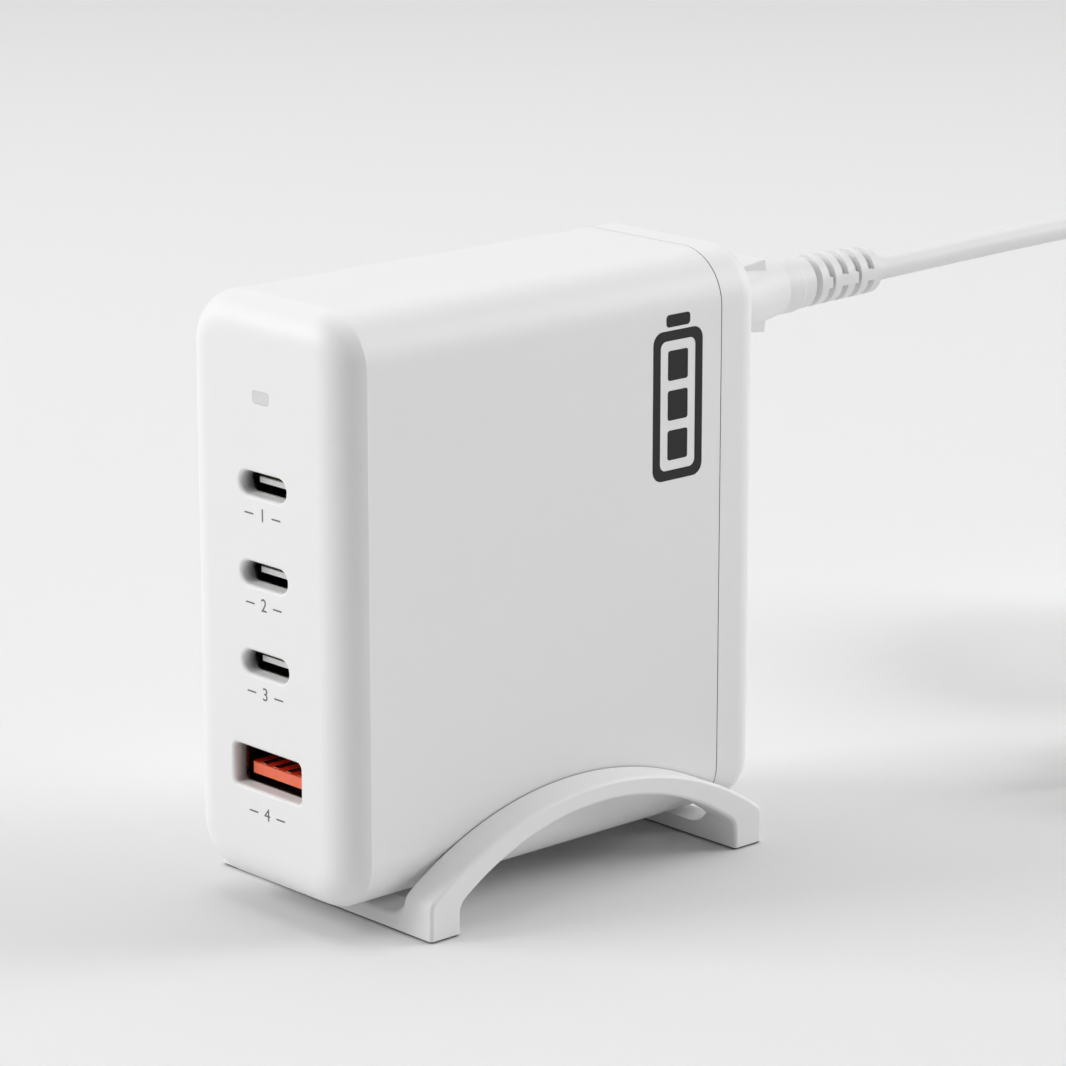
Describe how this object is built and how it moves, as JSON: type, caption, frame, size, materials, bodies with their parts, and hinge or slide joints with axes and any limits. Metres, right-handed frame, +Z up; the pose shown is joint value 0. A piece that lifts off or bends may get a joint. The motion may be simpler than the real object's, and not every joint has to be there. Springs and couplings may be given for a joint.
{
  "type": "multi port usb desktop charger",
  "caption": "Upright white desktop USB charger with round-edged case and a row of ports on its front, standing in an arched cradle, with a coiled mains lead plugged in behind.",
  "frame": {"origin": "on the table, under the middle of the charger's case", "axes": "+Z up, -Y out of the ports, +Y towards the mains lead, +X to the right seen from the ports"},
  "size_m": [0.0727, 0.2186, 0.0783],
  "materials": {
    "white_case": "fine satin moulding texture",
    "white_cradle": "fine satin moulding texture",
    "white_cord": "soft matt vinyl",
    "light_guide": "milky translucent",
    "nickel_shell": "nickel-plated sheet",
    "grey_insulator": "moulded",
    "orange_insulator": "moulded",
    "gold_contact": "gold-plated",
    "circuit_board": "solder mask",
    "black_film": "thin insulating film",
    "aluminium_sheet": "rolled",
    "grey_pad": "soft pad",
    "ferrite": "sintered, dull",
    "black_bobbin": "moulded",
    "yellow_tape": "polyester tape",
    "black_sleeve": "shrink sleeve",
    "copper_wire": "enamelled copper",
    "yellow_box": "moulded box",
    "blue_coating": "dipped epoxy",
    "black_epoxy": "moulded epoxy",
    "silver_can": "drawn can",
    "tinned_pin": "tinned",
    "black_inlet": "moulded",
    "red_lead": "silicone insulation",
    "nickel_blade": "nickel-plated brass",
    "white_tie": "soft strap"
  },
  "bodies": {
    "root": {"bridge_rectifier": "black_epoxy", "bulk_capacitor_1": "black_sleeve", "bulk_capacitor_2": "black_sleeve", "choke_core": "ferrite", "choke_winding": "copper_wire", "connector_sockets": "tinned_pin", "controller_chip": "black_epoxy", "cord_coil": "white_cord", "cord_connector": "white_cord", "cord_run": "white_cord", "cord_tail": "white_cord", "cord_tie": "white_tie", "cradle": "white_cradle", "fuse": "black_epoxy", "heat_spreader": "aluminium_sheet", "housing": "white_case", "inlet_body": "black_inlet", "inlet_leads": "red_lead", "inlet_pins": "tinned_pin", "insulating_sheet": "black_film", "light_pipe": "light_guide", "main_board": "circuit_board", "mains_plug": "white_cord", "output_capacitor_1": "silver_can", "output_capacitor_2": "silver_can", "output_capacitor_3": "silver_can", "output_inductor_1": "ferrite", "output_inductor_2": "ferrite", "plug_blades": "nickel_blade", "port_board": "circuit_board", "power_switch": "black_epoxy", "rear_cover": "white_case", "regulator_1": "black_epoxy", "regulator_2": "black_epoxy", "regulator_3": "black_epoxy", "thermal_pad": "grey_pad", "transformer_bobbin": "black_bobbin", "transformer_core": "ferrite", "transformer_winding": "yellow_tape", "usb_a_contacts": "gold_contact", "usb_a_shell": "nickel_shell", "usb_a_tongue": "orange_insulator", "usb_c_contacts_1": "gold_contact", "usb_c_contacts_2": "gold_contact", "usb_c_contacts_3": "gold_contact", "usb_c_shell_1": "nickel_shell", "usb_c_shell_2": "nickel_shell", "usb_c_shell_3": "nickel_shell", "usb_c_tongue_1": "grey_insulator", "usb_c_tongue_2": "grey_insulator", "usb_c_tongue_3": "grey_insulator", "varistor": "blue_coating", "x_capacitor": "yellow_box", "y_capacitor": "blue_coating"}
  },
  "joints": []
}
